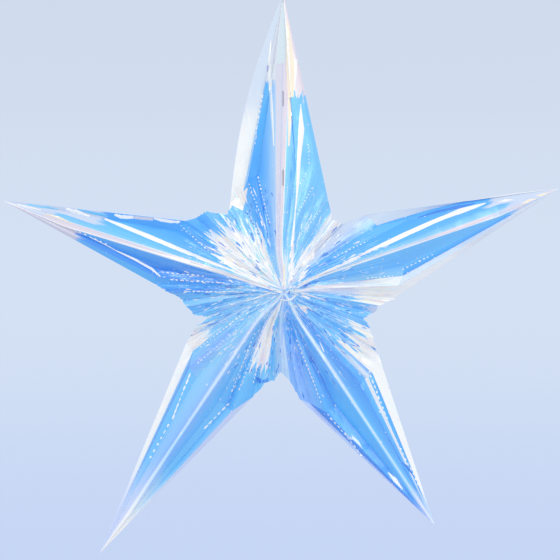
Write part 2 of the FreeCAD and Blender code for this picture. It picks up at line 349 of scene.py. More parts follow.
# Shader building
class Nodes:
    """Short names for the nodes of one material or world."""

    def __init__(self, owner):
        owner.use_nodes = True
        self.tree = owner.node_tree
        self.tree.nodes.clear()

    def add(self, kind, inputs=None, **settings):
        """A node with these settings, and its inputs by name or number."""
        node = self.tree.nodes.new(kind)
        for name, value in settings.items():
            setattr(node, name, value)
        for name, value in (inputs or {}).items():
            if isinstance(value, bpy.types.NodeSocket):
                self.tree.links.new(value, node.inputs[name])
            else:
                node.inputs[name].default_value = value
        return node

    def math(self, operation, *values):
        inputs = dict(enumerate(values))
        return self.add("ShaderNodeMath", inputs, operation=operation).outputs[0]

    def ramp(self, value, low, high):
        """Zero below low, one above high, and smooth between."""
        inputs = {"Value": value, "From Min": low, "From Max": high}
        node = self.add("ShaderNodeMapRange", inputs, interpolation_type="SMOOTHSTEP")
        return node.outputs["Result"]

    def fade(self, value, low, high):
        """One below low, zero above high, and smooth between."""
        return self.math("SUBTRACT", 1.0, self.ramp(value, low, high))

    def mix(self, share, first, second, blend="MIX"):
        inputs = {0: share, 6: first, 7: second}
        return self.add("ShaderNodeMix", inputs, data_type="RGBA", blend_type=blend).outputs[2]

    def attribute(self, name, output="Fac"):
        return self.add("ShaderNodeAttribute", attribute_name=name).outputs[output]

    def noise(self, vector, scale, detail=3.0, roughness=0.5):
        inputs = {"Vector": vector, "Scale": scale, "Detail": detail, "Roughness": roughness}
        return self.add("ShaderNodeTexNoise", inputs).outputs["Fac"]

    def scaled(self, vector, x, y, z):
        inputs = {0: vector, 1: (x, y, z)}
        return self.add("ShaderNodeVectorMath", inputs, operation="MULTIPLY").outputs[0]

    def surface(self, inputs):
        """A principled shader with these inputs, as what the material shows."""
        shader = self.add("ShaderNodeBsdfPrincipled", inputs)
        self.add("ShaderNodeOutputMaterial", {"Surface": shader.outputs[0]})


def rgba(colour):
    return (*colour, 1.0)


# The film's painted highlights and shade, its tints and its relief. A level is what a noise has to
# pass for a painted highlight to show, and its rise is how much more it takes for each millimetre
# from the hub, or GLINT_FLAT between folds
INNER_FADE = (80.0, 96.0)
SWITCH_JAG = 80.0
SWITCH_BLEND = 1.2
TIP_JAG = 40.0
FLARE_LEVEL = 0.60
FLARE_RISE = 0.0012
GLINT_LEVEL = 0.56
GLINT_RISE = 0.0008
GLINT_FLAT = 0.06
LINE_FADE = (0.4, 1.3)
PALE_FADE = (0.04, 0.22)
CRINKLE_SCALE = 170.0
CRINKLE_SHARE = 0.07
PUCKER_SHARE = 0.7
RELIEF_HEIGHT = 0.0012
FILM_ROUGHNESS = 0.14
FILM_ROUGHER = 0.16
PEARL_TINTS = [
    (0.30, srgb(214, 244, 250)),
    (0.44, srgb(252, 252, 250)),
    (0.54, srgb(255, 246, 226)),
    (0.64, srgb(250, 226, 232)),
    (0.76, srgb(228, 226, 250)),
]


class FilmNodes(Nodes):
    """The film's nodes, with the places and facts that its layers read."""

    def __init__(self, material):
        super().__init__(material)
        self.place = self.add("ShaderNodeTexCoord").outputs["Object"]
        self.polar = self.attribute("polar", "Vector")
        self.radius = self.add("ShaderNodeSeparateXYZ", {"Vector": self.polar}).outputs["Y"]
        self.inner = self.fade(self.radius, *INNER_FADE)
        self.seam = self.attribute("seam")

    def rays(self, turn, out, scale=1.0, detail=3.0, roughness=0.5):
        """Noise that runs in rays: how fast it changes around the hub, and out from it."""
        return self.noise(self.scaled(self.polar, turn, out, 1.0), scale, detail, roughness)

    def past(self, name, reach, turn, out):
        """How far a point is past a border that runs in rays, ragged by that reach."""
        rays = self.rays(turn, out, detail=4.0, roughness=0.65)
        away = self.math("MULTIPLY", self.math("SUBTRACT", rays, 0.5), reach)
        return self.math("ADD", self.attribute(name), away)

    def past_level(self, noise, level, rise):
        """How far a noise is past a level that rises with the distance from the hub."""
        limit = self.math("ADD", level, self.math("MULTIPLY", self.radius, rise))
        return self.math("SUBTRACT", noise, limit)

    def inside(self, share):
        """That share near the hub, and none out in the arms."""
        return self.math("MULTIPLY", share, self.inner)

    def tint(self, colour, paint, share, strength=1.0, blend="MIX"):
        """The colour with a paint laid over that share of it, at that strength."""
        laid = self.math("MULTIPLY", share, strength)
        return self.mix(laid, colour, rgba(PAINTS[paint]), blend)


def fold_colour(film):
    """Each panel's paint near the hub and the one past its switch, in an uneven tone."""
    near = film.attribute("near_paint", "Color")
    far = film.attribute("far_paint", "Color")
    past_switch = film.past("past_switch", SWITCH_JAG, 0.55, 0.035)
    colour = film.mix(film.ramp(past_switch, -SWITCH_BLEND, SWITCH_BLEND), near, far)
    tone = film.noise(film.place, 12.0, detail=2.0)
    return film.tint(colour, "sky", film.ramp(tone, 0.4, 0.7), 0.3, "SOFT_LIGHT")


def with_painted_flares(film, colour):
    """Painted highlights: white flares, each with a dark fringe of ink, which run out from the hub.
    """
    flare = film.rays(0.9, 0.05, 1.3, roughness=0.6)
    past = film.past_level(flare, FLARE_LEVEL, FLARE_RISE)
    colour = film.tint(colour, "ink", film.inside(film.ramp(past, -0.02, 0.0)), 0.5)
    return film.tint(colour, "white", film.inside(film.ramp(past, 0.0, 0.012)))


def with_bands(film, colour):
    """Lighter and darker bands along the pleats."""
    bands = film.rays(1.3, 0.012, roughness=0.6)
    colour = film.tint(colour, "ice", film.inside(film.ramp(bands, 0.5, 0.66)), 0.45)
    return film.tint(colour, "deep", film.inside(film.fade(bands, 0.34, 0.46)), 0.22)


def with_painted_glints_and_crease_shade(film, colour):
    """Painted glints: small white highlights with dark ink fringes, fewer on the flat of a panel;
    and painted shade that darkens the folds.
    """
    flat = film.math("MULTIPLY", film.ramp(film.seam, 0.3, 1.6), GLINT_FLAT)
    level = film.math("ADD", GLINT_LEVEL, flat)
    glints = film.rays(1.1, 0.2, detail=2.0, roughness=0.6)
    past = film.past_level(glints, level, GLINT_RISE)
    colour = film.tint(colour, "ink", film.ramp(past, -0.025, 0.0), 0.4)
    colour = film.tint(colour, "white", film.ramp(past, 0.0, 0.02), 0.9)
    return film.tint(colour, "deep", film.fade(film.seam, 0.1, 0.5), 0.22, "MULTIPLY")


def with_tips(film, colour):
    """The paler paint of each panel towards its tip."""
    past_tip = film.past("past_tip", TIP_JAG, 0.7, 0.02)
    tip_share = film.math("DIVIDE", past_tip, film.attribute("tip_fade"))
    return film.mix(film.ramp(tip_share, -1.0, 1.0), colour, film.attribute("tip_paint", "Color"))


def with_painted_shade_and_crest_highlights(film, colour):
    """Painted shade near the hub, and the crests' bright lines of painted highlight over it."""
    shades = film.rays(0.8, 0.045, 1.9)
    shade = film.inside(film.ramp(shades, 0.60, 0.68))
    colour = film.tint(colour, "shade", shade, 0.3, "MULTIPLY")
    return film.tint(colour, "white", film.fade(film.attribute("crest_line"), *LINE_FADE))


def with_pearl(film, colour):
    """Pearly tints where the film is pale, stronger near the hub."""
    saturation = film.add("ShaderNodeSeparateColor", {"Color": colour}, mode="HSV").outputs[1]
    hue = film.add("ShaderNodeValToRGB", {"Fac": film.rays(0.5, 0.03, 1.4, detail=2.0)})
    elements = hue.color_ramp.elements
    for element, (position, tint) in zip(elements, PEARL_TINTS[:2]):
        element.position = position
        element.color = rgba(tint)
    for position, tint in PEARL_TINTS[2:]:
        elements.new(position).color = rgba(tint)
    strength = film.math("ADD", 0.15, film.math("MULTIPLY", film.inner, 0.6))
    pearly = film.math("MULTIPLY", film.fade(saturation, *PALE_FADE), strength)
    return film.mix(pearly, colour, hue.outputs[0], "MULTIPLY")


def film_relief(film):
    """Crinkles all over the film, and puckers that run out from the hub."""
    crinkle = film.noise(film.place, CRINKLE_SCALE, detail=5.0, roughness=0.6)
    pucker = film.inside(film.math("MULTIPLY", film.rays(1.6, 0.06), PUCKER_SHARE))
    height = film.math("ADD", film.math("MULTIPLY", crinkle, CRINKLE_SHARE), pucker)
    inputs = {"Strength": 0.35, "Distance": RELIEF_HEIGHT, "Height": height}
    return film.add("ShaderNodeBump", inputs).outputs[0]


def film_material():
    """Glossy iridescent film, its colour laid on in layers, among them painted highlights and
    painted shade.
    """
    material = bpy.data.materials.new("iridescent_film")
    film = FilmNodes(material)
    colour = fold_colour(film)
    for layer in (with_painted_flares, with_bands, with_painted_glints_and_crease_shade, with_tips, with_painted_shade_and_crest_highlights, with_pearl):
        colour = layer(film, colour)
    uneven = film.math("MULTIPLY", film.noise(film.place, 60.0), FILM_ROUGHER)
    film.surface({
        "Base Color": colour,
        "Roughness": film.math("ADD", FILM_ROUGHNESS, uneven),
        "Normal": film_relief(film),
        "Metallic": 0.1,
        "Coat Weight": 0.5,
        "Coat Roughness": 0.04,
    })
    return material


GRAIN_HEIGHT = 0.0001
GRAIN_ROUGHER = 0.15


def plain_material(name, colour, roughness, metallic, grain, grain_scale):
    """A material with a fine grain, which darkens its colour by up to that share."""
    material = bpy.data.materials.new(name)
    n = Nodes(material)
    place = n.add("ShaderNodeTexCoord").outputs["Object"]
    tone = n.noise(place, grain_scale, detail=4.0)
    darker = tuple(channel * (1.0 - grain) for channel in colour)
    bump = n.add("ShaderNodeBump", {"Strength": 0.4, "Distance": GRAIN_HEIGHT, "Height": tone})
    n.surface({
        "Base Color": n.mix(tone, rgba(darker), rgba(colour)),
        "Roughness": n.math("ADD", roughness, n.math("MULTIPLY", tone, GRAIN_ROUGHER)),
        "Normal": bump.outputs[0],
        "Metallic": metallic,
    })
    return material


# The folded sheet. Its thickness falls from THINNING on, by the share THINNED at the tips
INNER_ROWS = 30
OUTER_ROWS = 26
COLUMN_WIDTH = 2.3
HUB_RINGS = 4
JAG = 2.6
JAG_SCALE = 0.45
PAINT_EASE = 0.7
FAR_PAST = 60.0
FARTHEST = 220.0
NO_LINE = 99.0
NO_TIP = (PAINTS["white"], -FARTHEST, 1.0)
THINNING = 140.0
THINNED = 0.8

# Where the middle of the hub lies: to the right, behind the crests and below
HUB_RIGHT = 0.6
HUB_BEHIND = 2.0
HUB_BELOW = 0.4

# The sheet's crumples: how high they stand, the scales of their noise, and the distances
# from the hub between which they rise or die away
PUCKER = 2.4
PUCKER_TURN = 9.0
PUCKER_RUN = 0.018
PUCKER_FINE = 2.3
PUCKER_RISE = (8, 30)
PUCKER_END = (70, 120)
CRUMPLE = 0.5
CRUMPLE_RISE = (4, 20)
DENT_SCALE = 0.07
CREASE_SCALE = 0.25
CREASE_END = (80, 120)
CREASE_LOSS = 0.8
STILL_ACROSS = 7.0
LOOSE_ACROSS = 11.0
LEAN_RISE = (4.0, 35.0)

# The crests' painted highlight lines: the share of their width that they lose between two distances
# from the hub, and the share that they have beside it
LINE_LOSS = 0.55
LINE_NARROWS = (80, 160)
LINE_START = 14
LINE_START_SHARE = 0.6


def smooth(value, low, high):
    share = min(max((value - low) / (high - low), 0.0), 1.0)
    return share * share * (3 - 2 * share)


def polar_of(point):
    """A point's angle from +X towards +Z, in degrees, and its distance from the centre."""
    return math.degrees(math.atan2(point.z, point.x)), math.hypot(point.x, point.z)


def crumpled(point):
    """The point moved in or out by the sheet's crumples, which run out from the hub, and
    to the side as the crests lean. The top crest, which the staples hold, isn't crumpled."""
    angle, radius = polar_of(point)
    turn = math.radians(angle)
    ring = Vector((math.cos(turn) * PUCKER_TURN, math.sin(turn) * PUCKER_TURN, radius * PUCKER_RUN))
    pleats = noise.noise(ring) + 0.5 * noise.noise(ring * PUCKER_FINE)
    pleats *= PUCKER * smooth(radius, *PUCKER_RISE) * (1 - smooth(radius, *PUCKER_END))
    flat = Vector((point.x, point.z, 0.0))
    risen = smooth(radius, *CRUMPLE_RISE)
    dents = noise.noise(flat * DENT_SCALE) * CRUMPLE * risen
    creases = noise.noise(flat * CREASE_SCALE) * CRUMPLE * 0.5 * risen
    creases *= 1 - CREASE_LOSS * smooth(radius, *CREASE_END)
    loose = smooth(abs(point.x), STILL_ACROSS, LOOSE_ACROSS) if point.z > 0 else 1.0
    lean = smooth(radius, *LEAN_RISE) * -point.y / CREST_HEIGHT
    return point + CREST_LEAN * lean - Vector((0, (pleats + dents + creases) * loose, 0))


def mixed(paint, share):
    """The colour a share of the way across a panel painted first>last."""
    first, _, last = paint.partition(">")
    ease = share ** PAINT_EASE
    return tuple(a + (b - a) * ease for a, b in zip(PAINTS[first], PAINTS[last or first]))


def crest_end(arm, side):
    """Where a crest's side closes in towards the tip, on the plane of the wide panel."""
    length = ARMS[arm]["length"]
    across = ARMS[arm]["crest"]
    wide = math.radians(WIDE_FOLD_ANGLE)
    turn_along = WIDE_FOLD_RADIUS * math.cos(wide)
    turn_across = WIDE_FOLD_RADIUS * math.sin(wide)
    slope = turn_across / (length - turn_along)
    along = length - (across + PANEL_END_WIDTH) / slope
    corner = corner_of(arm, side, "crest")
    tip = tip_of(arm)
    knee = in_arm(arm, side, turn_along, turn_across, 0)
    normal = (tip - corner).cross(knee - corner)
    place = in_arm(arm, side, along, across, 0)
    rise = normal.x * (place.x - corner.x) + normal.z * (place.z - corner.z)
    return Vector((place.x, corner.y - rise / normal.y, place.z))


def crest_edge(arm, side):
    return hub_corner(arm, side), crest_end(arm, side), tip_of(arm)


def crest_middle(arm):
    left = crest_edge(arm, 1)
    right = crest_edge(arm, -1)
    return tuple((a + b) / 2 for a, b in zip(left, right))


def flat_distance(point, start, end):
    """Distance from a point to a run, seen from the front."""
    run = Vector((end.x - start.x, end.z - start.z))
    away = Vector((point.x - start.x, point.z - start.z))
    share = min(max(away.dot(run) / run.length_squared, 0.0), 1.0)
    return (away - run * share).length


CREST_EDGES = {(arm, side): crest_edge(arm, side) for arm in ARMS for side in (1, -1)}
CREST_MIDDLES = {arm: crest_middle(arm) for arm in ARMS}


def crest_line(arm, point):
    """How far a point is from the arm's painted highlight lines, in half widths of the nearest."""
    radius = polar_of(point)[1]
    narrowed = LINE_START_SHARE
    if radius > LINE_START:
        narrowed = 1 - LINE_LOSS * smooth(radius, *LINE_NARROWS)
    nearest = NO_LINE
    for side, half_width, dimmed in CREST_HIGHLIGHTS[arm]:
        line = CREST_EDGES[arm, side] if side else CREST_MIDDLES[arm]
        away = min(flat_distance(point, line[i], line[i + 1]) for i in range(2))
        nearest = min(nearest, away / (half_width * narrowed) + dimmed)
    return nearest


class Sheet:
    """The faces of the star as they are laid out, with the facts that its finish reads."""

    def __init__(self):
        self.points = []
        self.faces = []
        self.facts = []
        self.numbers = {}

    def number(self, point):
        key = (round(point.x, 3), round(point.y, 3), round(point.z, 3))
        if key not in self.numbers:
            self.numbers[key] = len(self.points)
            self.points.append(point)
        return self.numbers[key]

    def face(self, corners):
        """A face from (point, facts) pairs, leaving out corners that fall together."""
        kept = {}
        for point, facts in corners:
            kept.setdefault(self.number(point), facts)
        if len(kept) > 2:
            self.faces.append(list(kept))
            self.facts.append(list(kept.values()))


# The facts of each face's corners, as the mesh keeps them and the film's nodes read them
COLOUR_FACTS = ("near_paint", "far_paint", "tip_paint")
LENGTH_FACTS = ("past_switch", "past_tip", "tip_fade", "seam", "crest_line")


def facts_at(point, near, far, past_switch, tip, crest=NO_LINE, seam=NO_LINE):
    """What the finish reads at a point. A tip is its paint, how far the point is past its
    border, and the reach over which it pales."""
    return {
        "near_paint": near, "far_paint": far, "tip_paint": tip[0],
        "past_switch": past_switch, "past_tip": tip[1], "tip_fade": tip[2],
        "seam": seam, "crest_line": crest, "polar": polar_of(point),
    }


def panel_grid(arm, side, number, left, right, paints, swollen, stage):
    """Columns of (point, facts) across a panel: stage 0 from the hub to the knees, stage 1
    on to the tip. Its first edge is swollen by that much, and its last by its bulge."""
    columns = max(3, round((left[1] - right[1]).length / COLUMN_WIDTH))
    rows = OUTER_ROWS if stage else INNER_ROWS
    near_paint = paints["outer" if stage else "near"]
    far_paint = paints["outer" if stage else "far"]
    tips = TIPS[arm, side]
    tip_radius, tip_paint, tip_fade = tips[min(number, len(tips) - 1)]
    grid = []
    for column in range(columns + 1):
        share = column / columns
        ends = [a.lerp(b, share) for a, b in zip(left, right)]
        if paints["outer"] is None and 0 < column < columns:
            ends[1] *= 1 + JAG / ends[1].length * noise.noise(ends[1] * JAG_SCALE)
        swell = swollen + (paints["bulge"] - swollen) * share
        line = []
        for row in range(rows + 1):
            point = ends[stage].lerp(ends[stage + 1], row / rows)
            if stage:
                point += in_arm(arm, side, 0, swell * math.sin(math.pi * row / rows), 0)
            first = left[stage].lerp(left[stage + 1], row / rows)
            last = right[stage].lerp(right[stage + 1], row / rows)
            radius = polar_of(point)[1]
            line.append((crumpled(point), facts_at(
                point, mixed(near_paint, share), mixed(far_paint, share),
                radius - paints["switch"],
                tip=(mixed(tip_paint, share), radius - tip_radius, tip_fade),
                crest=crest_line(arm, point),
                seam=min(share, 1 - share) * (first - last).length,
            )))
        grid.append(line)
    return grid


def add_grid(sheet, grid):
    for left, right in zip(grid, grid[1:]):
        for row in range(len(left) - 1):
            sheet.face([left[row], left[row + 1], right[row + 1], right[row]])


def add_panel(sheet, arm, side, number, left, right, paints, swollen=0.0):
    for stage in range(1 if paints["outer"] is None else 2):
        add_grid(sheet, panel_grid(arm, side, number, left, right, paints, swollen, stage))


def add_half_arm(sheet, arm, side):
    tip = tip_of(arm)
    corner = hub_corner(arm, side)
    paint = CREST_PAINTS[arm, side]
    crest = fold(0, 0, 0, paint, 0, paint, paint)
    add_panel(sheet, arm, side, 0, CREST_MIDDLES[arm], CREST_EDGES[arm, side], crest)
    before = CREST_EDGES[arm, side]
    swollen = 0.0
    for number, step in enumerate(HALF_ARMS[arm, side], 1):
        angle = math.radians(step["angle"])
        along = step["radius"] * math.cos(angle)
        across = step["radius"] * math.sin(angle)
        after = (corner, in_arm(arm, side, along, across, step["height"]), tip)
        add_panel(sheet, arm, side, number, before, after, step, swollen)
        before = after
        swollen = step["bulge"]


def add_hub(sheet):
    """The gathered middle between the crests, drawn in a little like an eye."""
    middle = Vector((HUB_RIGHT, HUB_BEHIND - CREST_HEIGHT, -HUB_BELOW)) + HUB_SHIFT
    paint = PAINTS["ice"]
    for arm in ARMS:
        for side in (1, -1):
            start = CREST_MIDDLES[arm][0]
            end = CREST_EDGES[arm, side][0]
            width = (CREST_MIDDLES[arm][1] - CREST_EDGES[arm, side][1]).length
            columns = max(3, round(width / COLUMN_WIDTH))
            grid = []
            for column in range(columns + 1):
                rim = start.lerp(end, column / columns)
                line = []
                for ring in range(HUB_RINGS + 1):
                    point = middle.lerp(rim, ring / HUB_RINGS)
                    facts = facts_at(point, paint, paint, FAR_PAST, tip=NO_TIP)
                    line.append((crumpled(point), facts))
                grid.append(line)
            add_grid(sheet, grid)


# Raised creases, bright or dark, the white ones painted highlights along the creases: (x, z, width)
# along each, from the star's centre
RIBS = [
    # To the right of the top crest, down to the hub and up beside it
    ("white", [(14.4, 153, 0.5), (15, 132, 4.8), (12.9, 108, 3.2), (12, 90, 2.4)]),
    ("white", [(12, 90, 2.4), (10.4, 70, 1.2), (8.6, 52, 1.6), (7, 30, 3.6)]),
    ("white", [(7, 30, 3.6), (6.4, 18, 5), (7, 8.5, 2)]),
    ("white", [(12.5, 7.5, 1), (18.5, 21, 7), (25.5, 37, 4.6)]),
    ("cream", [(25.5, 37, 4.6), (32.5, 51, 3.4), (39, 62.5, 1)]),
    # The pleats at the hub's upper left
    ("cream", [(-22, 15, 1), (-34, 23, 6), (-47, 31, 1)]),
    ("white", [(-24, 20, 1), (-37, 31.5, 6), (-52, 44.5, 1)]),
    ("white", [(-30, 16, 0.8), (-44, 23.5, 4.4), (-58, 31, 0.8)]),
    ("white", [(-19, 20, 0.8), (-27, 30.5, 4), (-36, 42.5, 0.8)]),
    # The top arm's left flap, and its tip
    ("cream", [(-29, 84.4, 0.6), (-33.8, 76.4, 7.4), (-38.6, 67.4, 12)]),
    ("peach", [
        (3.6, 222, 0.8), (5, 200, 4.8), (6, 185, 6.6), (6.4, 160, 5), (4.6, 118, 1.4),
    ]),
    ("white", [(10.8, 210, 0.8), (10.8, 196, 2.6), (10.4, 178, 2.2), (9.4, 164, 0.8)]),
    ("white", [(8, 229, 0.5), (4.4, 220, 1.6)]),
    ("cream", [
        (-10, 206, 0.6), (-11.2, 190, 2), (-10.6, 170, 2.6), (-9, 145, 2.2), (-7.6, 118, 0.8),
    ]),
    ("dusk", [(10.8, 216, 0.6), (10.6, 212, 1.8)]),
    ("mauve", [(-12.6, 185, 1.4), (-12.4, 180, 1.4)]),
    # Around the hub
    ("peach", [(0.9, 22.5, 1), (0.9, 14, 2), (0.9, 4.5, 1.4)]),
    ("white", [
        (10.7, 1.2, 0.8), (9.6, -3, 1.4), (6.8, -6, 1.5), (2.6, -7, 1.5), (-2.5, -6.2, 0.8),
    ]),
    ("ink", [(5.4, 0.6, 0.8), (4.6, -1.4, 1.6)]),
    ("ink", [(7, 14.6, 0.8), (8, 12.4, 2)]),
    ("ink", [(13.4, 3, 0.8), (17.6, 4.6, 2.2), (22.4, 6.4, 0.8)]),
    ("white", [(10.7, 0.4, 0.8), (20, -2.4, 1.6), (34.4, -7.4, 0.6)]),
    ("white", [(-9, -0.6, 0.8), (-18, -3.6, 1.6), (-29, -8, 0.6)]),
    ("rose", [(11.6, -10.4, 1.6), (15.6, -14, 4.4), (19.2, -17.2, 1.6)]),
    # The left arm's upper edge and its two long bands
    ("white", [(-105.5, 60.4, 2.4), (-99, 59.4, 5), (-91, 58.2, 5), (-84, 56.6, 1)]),
    ("lilac", [(-121.5, 61.8, 4.6), (-114, 61, 5), (-106, 60.2, 4.6)]),
    ("white", [(-138, 62.4, 1), (-133, 62.4, 5.4), (-126, 62, 5.4), (-122, 61.8, 4.4)]),
    ("white", [
        (-12, 5, 1), (-68, 27.6, 2.8), (-109, 44.7, 3.6), (-130, 53.2, 3),
        (-146, 59.6, 1.6),
    ]),
    ("white", [
        (-158, 44.6, 0.5), (-137.3, 34, 1), (-120, 25.6, 1.8), (-107.2, 18.5, 2),
        (-99, 11.4, 0.8),
    ]),
    ("dusk", [(-136, 31.8, 0.4), (-118, 22.8, 1), (-105, 15, 0.6)]),
    # The right arm's long band, its upper edge and the fold below its crest
    ("white", [
        (12, 5.4, 1), (60, 28, 3), (99.5, 46.6, 3.8), (123.2, 57.2, 3.4),
        (140, 64, 3),
    ]),
    ("cream", [(130, 60, 3), (145.1, 65.8, 4.4), (156, 69.2, 3), (166, 72.4, 0.8)]),
    ("dusk", [(110, 60.4, 0.8), (125, 65, 2.4), (142, 68.8, 2.6), (157, 72, 0.8)]),
    ("rose", [
        (116, 42.8, 0.6), (130, 47.2, 1.8), (145, 52.2, 2.8), (160, 58, 2.4),
        (174, 63.6, 0.8),
    ]),
    # Patches towards the left tip
    ("azure", [(-169, 67.6, 0.6), (-160, 66.2, 4.4), (-152, 64.4, 4.4), (-144, 61.4, 0.6)]),
    ("white", [(-178, 67.6, 1), (-172, 66.6, 4), (-164, 63.6, 1.6), (-158, 61.6, 0.6)]),
    ("sky", [(-211, 71.4, 0.6), (-200, 70.4, 3.4), (-184, 67.4, 0.6)]),
    ("cream", [(-219, 71.6, 0.6), (-210, 69.6, 1.8), (-198, 66.4, 0.8)]),
    ("peach", [(-196, 63.6, 0.6), (-184, 60.8, 1.6), (-172, 55.6, 0.6)]),
    # Patches towards the right tip
    ("cream", [(176, 73.4, 0.6), (182, 74.6, 2), (188, 75.4, 0.6)]),
    ("lilac", [(182, 66, 1), (190, 68.6, 4), (200, 72, 1)]),
    ("peach", [(195, 72, 0.6), (202, 74.4, 2.4), (208, 76, 0.6)]),
    ("peach", [(207, 78.2, 0.6), (212, 79.2, 1.8), (218, 81.2, 0.6)]),
    ("rose", [(216, 81.4, 0.6), (221, 83, 1.2), (226, 84.4, 0.5)]),
    # The lower arms, and the notch between them
    ("dusk", [(97.5, -140, 0.6), (102.5, -144.5, 2.6), (107, -151, 0.8)]),
    ("dusk", [(-22.5, -70.5, 1), (-18, -73.5, 5), (-12, -72, 2.4)]),
    ("low_haze", [(50.5, -114.6, 1), (54.2, -118.4, 4.6), (60, -123.6, 4.6), (64.5, -127.6, 1)]),
    ("white", [(86, -148, 0.8), (92, -154.5, 3.4), (98, -162, 0.8)]),
    ("white", [(-8, -32, 1.2), (-13.5, -52, 4), (-18.5, -66, 1.2)]),
]

# Rows of pressed dashes: angle and radius of both ends, pitch and dash length
DASHES = [
    ((101, 57), (102.5, 98), 3.2, 1.6),
    ((105.5, 50), (107.5, 94), 3.2, 1.6),
    ((112, 49), (115, 74), 3.2, 1.6),
    ((100.8, 123), (95.8, 164), 4.4, 2.6),
    ((72, 49), (65, 74), 3, 1.2),
    ((79.5, 64), (74, 89), 3, 1.2),
    ((81, 89), (79, 98), 3, 1.2),
    ((78.5, 107), (80.5, 123), 3, 1.2),
    ((152, 66), (147, 103), 3.4, 1.6),
    ((169, 66), (171, 103), 4.2, 2.6),
    ((172, 49), (174, 94), 4.2, 2.8),
    ((180, 33), (180, 82), 3.6, 2.6),
    ((165, 150), (163.2, 184), 4.6, 2),
    ((149, 123), (156.5, 182), 4.4, 2.6),
    ((219.5, 49), (220, 90), 3.4, 1.8),
    ((209, 37), (214, 82), 3.4, 1.8),
    ((222, 103), (229.2, 139), 5.2, 4.4),
    ((229.4, 144), (231.6, 178), 6, 3),
    ((236, 41), (243, 94), 3.6, 2),
    ((241, 33), (246, 90), 3.6, 2.2),
    ((246, 33), (252, 78), 3.2, 2.4),
    ((244, 103), (240, 131), 5.2, 4.4),
    ((286, 41), (289, 98), 3.6, 2),
    ((290, 107), (293.5, 127), 4.4, 2.6),
    ((293.5, 127), (297.5, 176), 4.4, 2.4),
    ((316, 100), (308, 143), 4.6, 3),
    ((308, 143), (305, 193), 4.6, 2.6),
    ((9, 70), (8, 92), 3.4, 1.8),
    ((10.5, 100), (14, 128), 3.8, 1.8),
    ((34, 50), (31, 78), 3.4, 1.4),
]

# How the dashes vary: how far they stray, half their length and their width, and the shares
# of that width at their ends
DASH_STRAY = 0.25
DASH_HALF = (0.3, 0.6)
DASH_WIDTH = (0.7, 1.5)
DASH_BOLD = 2.5
BOLD_SHARE = 1.2
FINE_SHARE = 0.9
DASH_START = 0.6
DASH_END = 0.5

# Creases around the hub, the white ones painted glints: paint, count, their sector, radii and
# greatest length
SHARDS = [
    ("dusk", 24, (112, 152), (26, 74), 8.0),
    ("aqua", 26, (108, 160), (10, 60), 9.0),
    ("white", 26, (104, 156), (40, 84), 9.0),
    ("white", 40, (164, 206), (22, 84), 6.0),
    ("dusk", 34, (164, 212), (18, 86), 8.0),
    ("ice", 30, (206, 262), (14, 76), 9.0),
    ("white", 20, (210, 262), (24, 84), 4.5),
    ("dusk", 18, (236, 268), (30, 84), 6.0),
    ("dusk", 16, (270, 300), (20, 90), 8.0),
    ("white", 12, (300, 350), (16, 84), 9.0),
    ("dusk", 30, (308, 356), (24, 88), 8.0),
    ("ice", 10, (318, 374), (20, 92), 10.0),
    ("white", 22, (370, 420), (18, 74), 8.0),
    ("dusk", 12, (376, 412), (24, 72), 8.0),
    ("ice", 16, (412, 440), (20, 70), 10.0),
    ("dusk", 14, (96, 114), (30, 90), 6.0),
    ("white", 40, (0, 360), (6, 24), 5.0),
    ("aqua", 26, (0, 360), (6, 26), 6.0),
    ("mauve", 14, (0, 360), (5, 18), 3.5),
]

# How those creases vary: degrees off the pleats, half their length as a share of the
# greatest, their width and how it grows with that length, and where they are widest
SHARD_SLANT = 14
SHARD_HALF = (0.25, 0.5)
SHARD_WIDTH = (0.5, 1.0)
SHARD_LEAST = 0.8
SHARD_GROWTH = 0.08
SHARD_POINT = 0.3
SHARD_WIDEST = 0.3

# How far a rib stands out of the sheet, how deep it is rooted, its steps, and how far in
# front the look for the sheet starts
RIB_HEIGHT = 0.28
RIB_ROOT = 0.25
RIB_STEP = 1.5
IN_FRONT = 200.0


class Surface:
    """Finds the front of the laid-out sheet behind a point of the star's plane."""

    def __init__(self, sheet):
        self.tree = BVHTree.FromPolygons(sheet.points, sheet.faces)

    def at(self, x, z):
        hit, normal, _, _ = self.tree.ray_cast(Vector((x, -IN_FRONT, z)), Vector((0, 1, 0)))
        return None if hit is None else (hit, normal if normal.y < 0 else -normal)


def rib_sections(path):
    """The path of (x, z, width) in short steps."""
    sections = []
    for start, end in zip(path, path[1:]):
        steps = max(1, round(math.hypot(end[0] - start[0], end[1] - start[1]) / RIB_STEP))
        for step in range(steps):
            share = step / steps
            sections.append([a + (b - a) * share for a, b in zip(start, end)])
    return [*sections, path[-1]]


def add_rib(sheet, surface, paint, path):
    """A low rib on the sheet along a path of (x, z, width), closed all round."""
    run = Vector((path[-1][0] - path[0][0], path[-1][1] - path[0][1])).normalized()
    rings = []
    for x, z, width in rib_sections(path):
        found = surface.at(x, z)
        sides = [surface.at(x - run.y * width * s, z + run.x * width * s) for s in (0.5, -0.5)]
        if found is None or None in sides:
            continue
        middle, normal = found
        rings.append([
            sides[0][0],
            middle + normal * RIB_HEIGHT,
            sides[1][0],
            middle - normal * RIB_ROOT,
        ])
    if len(rings) < 2:
        return
    colour = PAINTS[paint]

    def corner(point):
        return point, facts_at(point, colour, colour, FAR_PAST, tip=NO_TIP)

    for ring, following in zip(rings, rings[1:]):
        for i in range(4):
            j = (i + 1) % 4
            sheet.face([corner(p) for p in (ring[i], ring[j], following[j], following[i])])
    for ring in (rings[0], rings[-1]):
        sheet.face([corner(p) for p in ring])


